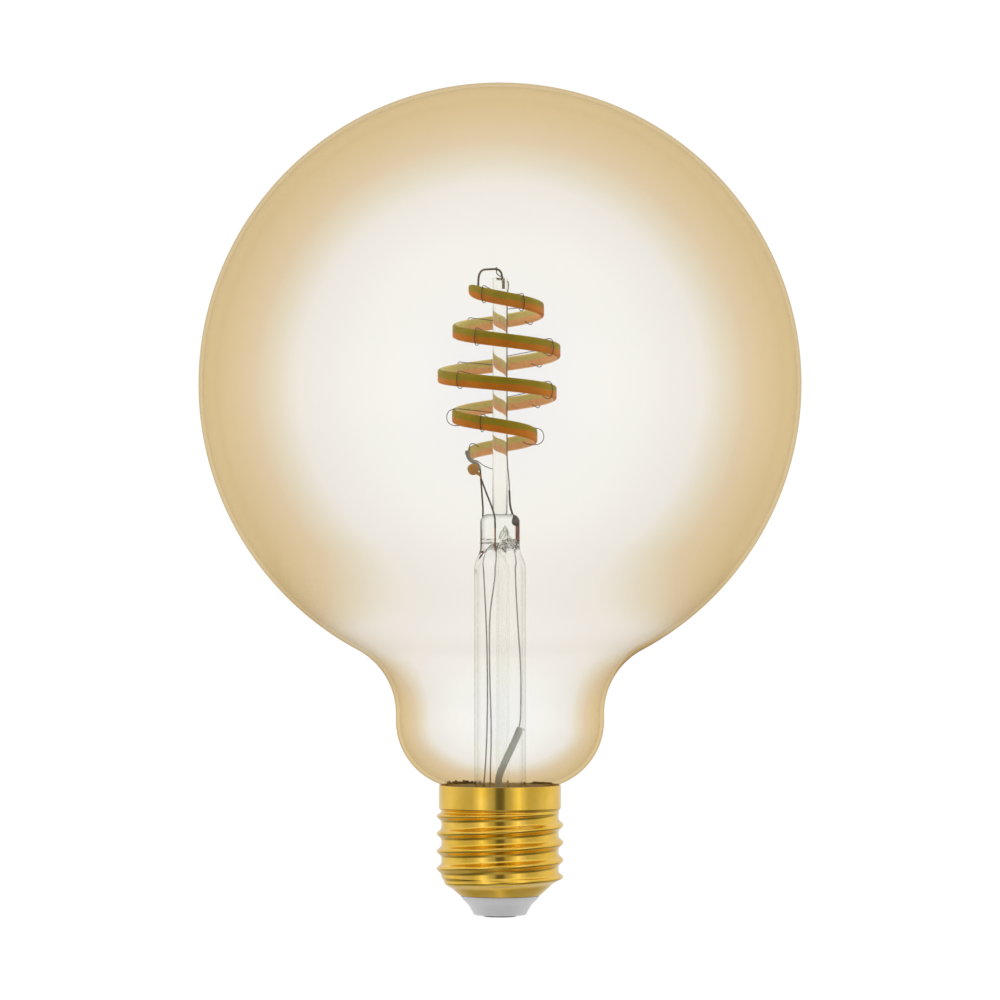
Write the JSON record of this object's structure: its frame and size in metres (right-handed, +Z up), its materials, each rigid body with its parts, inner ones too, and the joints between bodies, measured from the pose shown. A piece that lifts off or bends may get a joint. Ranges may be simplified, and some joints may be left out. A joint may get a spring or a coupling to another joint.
{
  "type": "smart light bulb",
  "caption": "Globe filament lamp with gold-tinted glass, a two-tone coiled LED strip on a glass rod, a gold screw cap and a hidden driver with a radio.",
  "frame": {"origin": "middle of the centre contact's bottom face, at the lowest point of the lamp's axis", "axes": "+Z up the lamp axis from the cap to the top of the globe, -Y the front as seen in the reference view, +X to its right"},
  "size_m": [0.125, 0.125, 0.173],
  "materials": {
    "amber_glass": "clear glass with a gold tint that deepens towards the edges",
    "clear_glass": "clear polished glass",
    "brass_shell": "bright gold-coloured rolled sheet",
    "insulator": "light grey, slightly glossy moulding",
    "contact_metal": "dull tinned disc",
    "cool_phosphor": "soft silicone, yellow-green when unlit",
    "warm_phosphor": "soft silicone, orange when unlit",
    "strip_core": "flexible printed strip",
    "terminal_metal": "dull nickel-plated tab",
    "lead_metal": "drawn nickel wire",
    "seal_metal": "copper-clad seal wire, red-brown inside the glass",
    "copper_wire": "tinned copper wire",
    "sleeve_plastic": "grey woven insulating sleeve",
    "cement": "brown-grey basing cement",
    "liner_plastic": "white insulating cup",
    "board_green": "green soldermask",
    "chip_black": "black moulded package",
    "capacitor_sleeve": "dark sleeve on a can",
    "film_yellow": "yellow film box",
    "inductor_core": "ferrite drum with copper winding",
    "resistor_body": "lacquered resistor body",
    "shield_metal": "tinned pressed can",
    "trace_copper": "gold-plated copper trace"
  },
  "bodies": {
    "root": {"basing_cement": "cement", "bridge_rectifier": "chip_black", "cap_insulator": "insulator", "centre_contact": "contact_metal", "centre_rod": "clear_glass", "channel_switches": "chip_black", "common_inner_lead": "lead_metal", "common_lead_sleeve": "sleeve_plastic", "common_outer_lead": "copper_wire", "common_return_wire": "lead_metal", "common_seal_wires": "seal_metal", "common_weld_bead": "lead_metal", "cool_inner_lead": "lead_metal", "cool_outer_lead": "copper_wire", "cool_seal_wire": "seal_metal", "driver_board": "board_green", "driver_liner": "liner_plastic", "electrolytic_capacitor": "capacitor_sleeve", "exhaust_tube": "clear_glass", "filament_cool_phosphor": "cool_phosphor", "filament_cool_terminal": "terminal_metal", "filament_substrate": "strip_core", "filament_support_wires": "lead_metal", "filament_top_terminal": "terminal_metal", "filament_warm_phosphor": "warm_phosphor", "filament_warm_terminal": "terminal_metal", "film_capacitor": "film_yellow", "filter_inductor": "inductor_core", "fusible_resistor": "resistor_body", "glass_envelope": "amber_glass", "led_driver_chip": "chip_black", "module_header_pins": "trace_copper", "radio_antenna": "trace_copper", "radio_module_board": "board_green", "radio_shield_can": "shield_metal", "screw_shell": "brass_shell", "side_contact_wire": "copper_wire", "stem_flare": "clear_glass", "top_hook_wire": "lead_metal", "warm_inner_lead": "lead_metal", "warm_outer_lead": "copper_wire", "warm_seal_wire": "seal_metal"}
  },
  "joints": []
}
